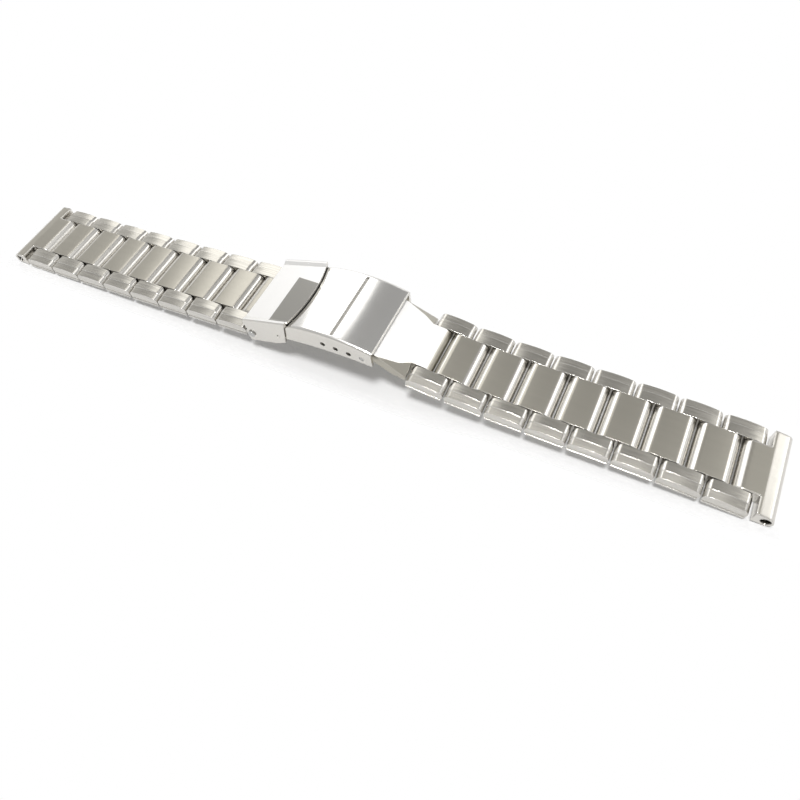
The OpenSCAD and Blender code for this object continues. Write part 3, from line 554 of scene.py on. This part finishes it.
class BRACELET_OT_stage(bpy.types.Operator):
    """Lays the pale table, hangs the soft lights and fills the room with light"""
    bl_idname = "bracelet.stage"
    bl_label = "Table and lights"

    def execute(self, context):
        chosen = context.scene.bracelet_stage
        self.lay_table(context, chosen)
        self.fill_room(context, chosen)
        for name, setting, turn, height, sides in LAMPS:
            self.hang_lamp(context, name, getattr(chosen, setting), direction(turn, height), sides)
        context.scene.view_settings.view_transform = "Standard"
        return {"FINISHED"}

    def lay_table(self, context, chosen):
        """One flat square just under the bracelet."""
        corners = [(x * TABLE_HALF, y * TABLE_HALF, -TABLE_GAP)
                   for x, y in ((-1.0, -1.0), (1.0, -1.0), (1.0, 1.0), (-1.0, 1.0))]
        mesh = bpy.data.meshes.new("table")
        mesh.from_pydata(corners, [], [(0, 1, 2, 3)])
        table = bpy.data.objects.new("table", mesh)
        context.scene.collection.objects.link(table)
        mesh.materials.append(table_material(chosen.floor, chosen.glow))

    def fill_room(self, context, chosen):
        """A room that is white low down, grey halfway up and pale overhead, with one dark screen behind."""
        world = bpy.data.worlds.new("room")
        context.scene.world = world
        world.use_nodes = True
        tree = world.node_tree
        on_matt = tree.nodes.new("ShaderNodeLightPath").outputs["Is Diffuse Ray"]
        around = coordinate(tree, "Generated")
        levels = tree.nodes.new("ShaderNodeValToRGB")
        steps = levels.color_ramp.elements
        steps[0].position = ROOM_LEVELS[0][0]
        steps[1].position = ROOM_LEVELS[-1][0]
        for height, _ in ROOM_LEVELS[1:-1]:
            steps.new(height)
        for step, (_, level) in zip(steps, ROOM_LEVELS):
            step.color = (level, level, level, 1.0)
        feed(tree, levels.inputs["Fac"], split(tree, around)["Z"])
        nearness = vector_maths(tree, "DOT_PRODUCT", around, direction(*SCREEN_PLACE))
        rim, core = [math.cos(math.radians(angle)) for angle in (SCREEN_RIM, SCREEN_CORE)]
        screen = ramp(tree, nearness, rim, core, shape="SMOOTHSTEP")
        dark = (chosen.screen, chosen.screen, chosen.screen, 1.0)
        feed_named(tree, tree.nodes["Background"], {
            "Color": mixed(tree, "RGBA", screen, levels.outputs["Color"], dark),
            "Strength": ramp(tree, on_matt, 0.0, 1.0, chosen.sky, chosen.sky * chosen.ambient)})

    def hang_lamp(self, context, name, power, away, sides):
        """A flat panel that faces the bracelet."""
        data = bpy.data.lights.new(name, "AREA")
        data.shape = "RECTANGLE"
        data.size, data.size_y = sides
        data.energy = power
        lamp = bpy.data.objects.new(name, data)
        lamp.location = away * LAMP_DISTANCE
        lamp.rotation_euler = away.to_track_quat("Z", "Y").to_euler()
        context.scene.collection.objects.link(lamp)


class BRACELET_OT_middle_links(bpy.types.Operator):
    """Brushes the middle links along the bracelet"""
    bl_idname = "bracelet.middle_links"
    bl_label = "Middle links"

    def execute(self, context):
        steel = context.scene.bracelet_steel
        for side, first in FIRST_CROWN.items():
            dress(named("center_link_" + side), steel_material(
                "middle link steel " + side, steel.polished, steel.polished, steel.edge_radius,
                roughness=0.2, top=(steel.brushed, 0.3), level=0.975, first_crown=first))
        return {"FINISHED"}


class BRACELET_OT_outer_links(bpy.types.Operator):
    """Gives the outer links their smoother, polished bands"""
    bl_idname = "bracelet.outer_links"
    bl_label = "Outer links"

    def execute(self, context):
        steel = context.scene.bracelet_steel
        dress(named("outer_links_"), steel_material(
            "outer link steel", steel.polished, steel.mirror, steel.edge_radius,
            roughness=0.22, grain=0.6, breadth=2600.0, grain_length=0.015, streak=0.9, marks=0.06,
            top=(steel.worn, 0.24), level=0.95))
        return {"FINISHED"}


class BRACELET_OT_end_links(bpy.types.Operator):
    """Finishes the end links and the two clasp links"""
    bl_idname = "bracelet.end_links"
    bl_label = "End and clasp links"

    def execute(self, context):
        steel = context.scene.bracelet_steel
        dress(named("end_link_") + ["clasp_link_left"], steel_material(
            "end link steel", steel.polished, steel.polished, steel.edge_radius * END_EDGE,
            roughness=0.22, grain=0.8, top=(steel.brushed, 0.3), level=0.975))
        dress(["clasp_link_right"], steel_material(
            "clasp link steel", steel.brushed, steel.polished, steel.edge_radius,
            roughness=0.3, grain=0.6, streak=0.05, top=(steel.satin, 0.5)))
        return {"FINISHED"}


class BRACELET_OT_pins(bpy.types.Operator):
    """Finishes the pins, the rivets and the spring bar with turned steel"""
    bl_idname = "bracelet.pins"
    bl_label = "Pins, rivets and bars"

    def execute(self, context):
        steel = context.scene.bracelet_steel
        nodes = named("pins_") + ["catch_rivets", "spring_bar_right", "clasp_pin_left", "blade_pins"]
        dress(nodes, steel_material(
            "pin steel", steel.pin, steel.polished, steel.edge_radius * PIN_EDGE,
            roughness=0.3, grain=0.6, fineness=6000.0, grain_length=1.0))
        return {"FINISHED"}


class BRACELET_OT_clasp(bpy.types.Operator):
    """Polishes the clasp cover and the safety catch"""
    bl_idname = "bracelet.clasp"
    bl_label = "Clasp cover and catch"

    def execute(self, context):
        steel = context.scene.bracelet_steel
        # The cover's groove gets its floor painted darker as shade
        dress(["clasp_cover"], steel_material(
            "cover steel", steel.polished, steel.mirror, steel.edge_radius,
            roughness=0.2, grain=0.35, streak=0.08, marks=0.04,
            top=(steel.mirror, 0.16), groove=(steel.lip, 0.35)))
        # The catch's lip gets a dark patch painted on it as a reflection
        dress(["safety_catch"], steel_material(
            "catch steel", steel.polished, steel.polished, steel.edge_radius,
            roughness=0.2, grain=0.3, streak=0.05, marks=0.04,
            top=(steel.satin, 0.42), lip=(steel.lip, 0.3)))
        return {"FINISHED"}


class BRACELET_OT_blades(bpy.types.Operator):
    """Gives the two folding blades a plain stamped finish"""
    bl_idname = "bracelet.blades"
    bl_label = "Folding blades"

    def execute(self, context):
        steel = context.scene.bracelet_steel
        dress(["inner_blade", "outer_blade"], steel_material(
            "blade steel", steel.brushed, steel.polished, steel.edge_radius,
            roughness=0.3, grain=0.7, fineness=7000.0, grain_length=0.05, marks=0.06))
        return {"FINISHED"}


PIECES = (
    BRACELET_OT_middle_links,
    BRACELET_OT_outer_links,
    BRACELET_OT_end_links,
    BRACELET_OT_pins,
    BRACELET_OT_clasp,
    BRACELET_OT_blades,
)


class BRACELET_PT_panel(bpy.types.Panel):
    """The bracelet's settings and operators"""
    bl_idname = "BRACELET_PT_panel"
    bl_label = "Steel watch bracelet"
    bl_space_type = "VIEW_3D"
    bl_region_type = "UI"
    bl_category = "Bracelet"

    def draw(self, context):
        scene = context.scene
        for settings in (scene.bracelet_camera, scene.bracelet_steel, scene.bracelet_stage):
            box = self.layout.box()
            for name in settings.__annotations__:
                box.prop(settings, name)
        for operator in (BRACELET_OT_camera, BRACELET_OT_stage) + PIECES:
            self.layout.operator(operator.bl_idname)


CLASSES = (
    BraceletCamera, BraceletSteel, BraceletStage, BRACELET_OT_camera, BRACELET_OT_stage,
) + PIECES + (BRACELET_PT_panel,)


def register():
    for made in CLASSES:
        bpy.utils.register_class(made)
    bpy.types.Scene.bracelet_camera = PointerProperty(type=BraceletCamera)
    bpy.types.Scene.bracelet_steel = PointerProperty(type=BraceletSteel)
    bpy.types.Scene.bracelet_stage = PointerProperty(type=BraceletStage)


def unregister():
    for name in ("bracelet_camera", "bracelet_steel", "bracelet_stage"):
        delattr(bpy.types.Scene, name)
    for made in reversed(CLASSES):
        bpy.utils.unregister_class(made)


def main():
    register()
    bpy.ops.bracelet.camera()
    bpy.ops.bracelet.stage()
    for piece in PIECES:
        group, name = piece.bl_idname.split(".")
        getattr(getattr(bpy.ops, group), name)()


if __name__ == "__main__":
    main()
